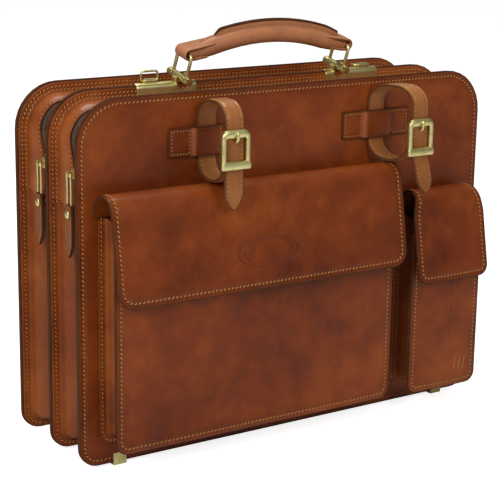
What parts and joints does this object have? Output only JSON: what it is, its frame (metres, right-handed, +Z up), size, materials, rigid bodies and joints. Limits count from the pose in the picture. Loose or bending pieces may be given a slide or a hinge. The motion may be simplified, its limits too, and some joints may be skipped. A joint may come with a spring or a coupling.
{
  "type": "leather briefcase",
  "caption": "Leather briefcase with zipped gusset compartments, flap pockets, buckled umbrella loops, a swivelling carry handle and shoulder-strap rings.",
  "frame": {"origin": "centre of the bounding box's base: middle of length and depth, under the feet", "axes": "+X along the bag to the viewer's right, -Y the front with the pockets, +Z up"},
  "size_m": [0.41, 0.1582, 0.3487],
  "materials": {
    "leather": "glossy vegetable-tanned cognac",
    "lining": "smooth lining leather",
    "zip_tape": "dark woven tape with brass teeth",
    "brass": "satin aged brass"
  },
  "bodies": {
    "divider": {"centre_board_front": "leather", "centre_board_rear": "leather", "front_gusset_back": "leather", "front_zip_band_back": "leather", "front_zip_teeth_back": "zip_tape", "rear_gusset_front": "leather", "rear_zip_band_front": "leather", "rear_zip_teeth_front": "zip_tape", "left_bracket": "brass", "right_bracket": "brass", "swivel_pins": "brass"},
    "front_panel": {"front_board_leather": "leather", "front_board_lining": "lining", "front_gusset_front": "leather", "front_zip_band_front": "leather", "front_zip_teeth_front": "zip_tape", "main_pocket_panel": "leather", "main_pocket_gusset": "leather", "phone_pocket_panel": "leather", "phone_pocket_gusset": "leather", "main_flap_fold": "leather", "phone_flap_fold": "leather", "left_strap_upper": "leather", "left_strap_lower": "leather", "right_strap_upper": "leather", "right_strap_lower": "leather", "left_buckle": "brass", "right_buckle": "brass", "keepers": "leather", "front_feet": "brass"},
    "rear_panel": {"rear_board_lining": "lining", "rear_board_leather": "leather", "rear_gusset_back": "leather", "rear_zip_band_back": "leather", "rear_zip_teeth_back": "zip_tape", "rear_feet": "brass"},
    "front_zip_end": {"front_zip_end": "zip_tape"},
    "rear_zip_end": {"rear_zip_end": "zip_tape"},
    "front_slider": {"front_zip_slider": "brass"},
    "rear_slider": {"rear_zip_slider": "brass"},
    "front_pull": {"front_pull_loop": "brass", "front_pull_tongue": "leather", "front_pull_stud": "brass"},
    "rear_pull": {"rear_pull_loop": "brass", "rear_pull_tongue": "leather", "rear_pull_stud": "brass"},
    "main_flap": {"main_flap": "leather"},
    "phone_flap": {"phone_flap": "leather"},
    "left_tail": {"left_strap_tail": "leather"},
    "left_prong": {"left_prong": "brass"},
    "right_prong": {"right_prong": "brass"},
    "handle_swivels": {"left_handle_barrel": "brass", "right_handle_barrel": "brass"},
    "left_ring": {"left_handle_ring": "brass"},
    "right_ring": {"right_handle_ring": "brass"},
    "handle": {"handle_grip": "leather", "left_handle_tab": "leather", "right_handle_tab": "leather"},
    "left_strap_ring": {"left_strap_ring": "brass"},
    "right_strap_ring": {"right_strap_ring": "brass"}
  },
  "joints": [
    {"name": "front_panel_open", "type": "hinge", "parent": "divider", "child": "front_panel", "pos_m": [0, -0.0269, 0.0105], "axis": [1, 0, 0], "range_deg": [0, 7]},
    {"name": "rear_panel_open", "type": "hinge", "parent": "divider", "child": "rear_panel", "pos_m": [0, 0.0741, 0.0105], "axis": [-1, 0, 0], "range_deg": [0, 7]},
    {"name": "front_zip_end_follow", "type": "hinge", "parent": "divider", "child": "front_zip_end", "pos_m": [0, -0.0269, 0.0105], "axis": [1, 0, 0], "range_deg": [0, 3.5]},
    {"name": "rear_zip_end_follow", "type": "hinge", "parent": "divider", "child": "rear_zip_end", "pos_m": [0, 0.0741, 0.0105], "axis": [-1, 0, 0], "range_deg": [0, 3.5]},
    {"name": "front_slider_slide", "type": "slide", "parent": "front_zip_end", "child": "front_slider", "axis": [0, 0, 1], "range_m": [0, 0.018]},
    {"name": "rear_slider_slide", "type": "slide", "parent": "rear_zip_end", "child": "rear_slider", "axis": [0, 0, 1], "range_m": [0, 0.018]},
    {"name": "front_pull_swing", "type": "hinge", "parent": "front_slider", "child": "front_pull", "pos_m": [-0.1976, -0.0039, 0.2405], "axis": [0, 1, 0], "range_deg": [0, 115]},
    {"name": "rear_pull_swing", "type": "hinge", "parent": "rear_slider", "child": "rear_pull", "pos_m": [-0.1976, 0.0486, 0.2405], "axis": [0, 1, 0], "range_deg": [0, 115]},
    {"name": "main_flap_open", "type": "hinge", "parent": "front_panel", "child": "main_flap", "pos_m": [0, -0.0603, 0.215], "axis": [-1, 0, 0], "range_deg": [0, 85]},
    {"name": "left_tail_lift", "type": "hinge", "parent": "front_panel", "child": "left_tail", "pos_m": [-0.0875, -0.0727, 0.2435], "axis": [-1, 0, 0], "range_deg": [0, 85]},
    {"name": "phone_flap_open", "type": "hinge", "parent": "front_panel", "child": "phone_flap", "pos_m": [0, -0.0587, 0.1875], "axis": [-1, 0, 0], "range_deg": [0, 85]},
    {"name": "left_prong_open", "type": "hinge", "parent": "front_panel", "child": "left_prong", "pos_m": [-0.0875, -0.0689, 0.2615], "axis": [1, 0, 0], "range_deg": [0, 55]},
    {"name": "right_prong_open", "type": "hinge", "parent": "front_panel", "child": "right_prong", "pos_m": [0.10055, -0.0689, 0.2555], "axis": [1, 0, 0], "range_deg": [0, 55]},
    {"name": "handle_fold", "type": "hinge", "parent": "divider", "child": "handle_swivels", "pos_m": [0, 0.0211, 0.3071], "axis": [1, 0, 0], "range_deg": [-52, 29]},
    {"name": "left_ring_lean", "type": "hinge", "parent": "handle_swivels", "child": "left_ring", "pos_m": [-0.081, 0.0211, 0.3071], "axis": [0, 0.9781, 0.2079], "range_deg": [-28, 12]},
    {"name": "right_ring_lean", "type": "hinge", "parent": "handle_swivels", "child": "right_ring", "pos_m": [0.081, 0.0211, 0.3071], "axis": [0, 0.9781, 0.2079], "range_deg": [-28, 12]},
    {"name": "handle_level", "type": "hinge", "parent": "left_ring", "child": "handle", "pos_m": [-0.07808, 0.01678, 0.32744], "axis": [0, 0.9781, 0.2079], "range_deg": [-12, 28]},
    {"name": "left_strap_ring_turn", "type": "hinge", "parent": "divider", "child": "left_strap_ring", "pos_m": [-0.11, 0.0211, 0.3053], "axis": [1, 0, 0], "range_deg": [-85, 85]},
    {"name": "right_strap_ring_turn", "type": "hinge", "parent": "divider", "child": "right_strap_ring", "pos_m": [0.11, 0.0211, 0.3053], "axis": [1, 0, 0], "range_deg": [0, 175]}
  ],
  "couplings": [
    {"joint": "front_zip_end_follow", "follows": "front_panel_open", "ratio": 0.5},
    {"joint": "rear_zip_end_follow", "follows": "rear_panel_open", "ratio": 0.5},
    {"joint": "left_tail_lift", "follows": "main_flap_open", "ratio": 1},
    {"joint": "right_ring_lean", "follows": "left_ring_lean", "ratio": 1},
    {"joint": "handle_level", "follows": "left_ring_lean", "ratio": -1}
  ]
}
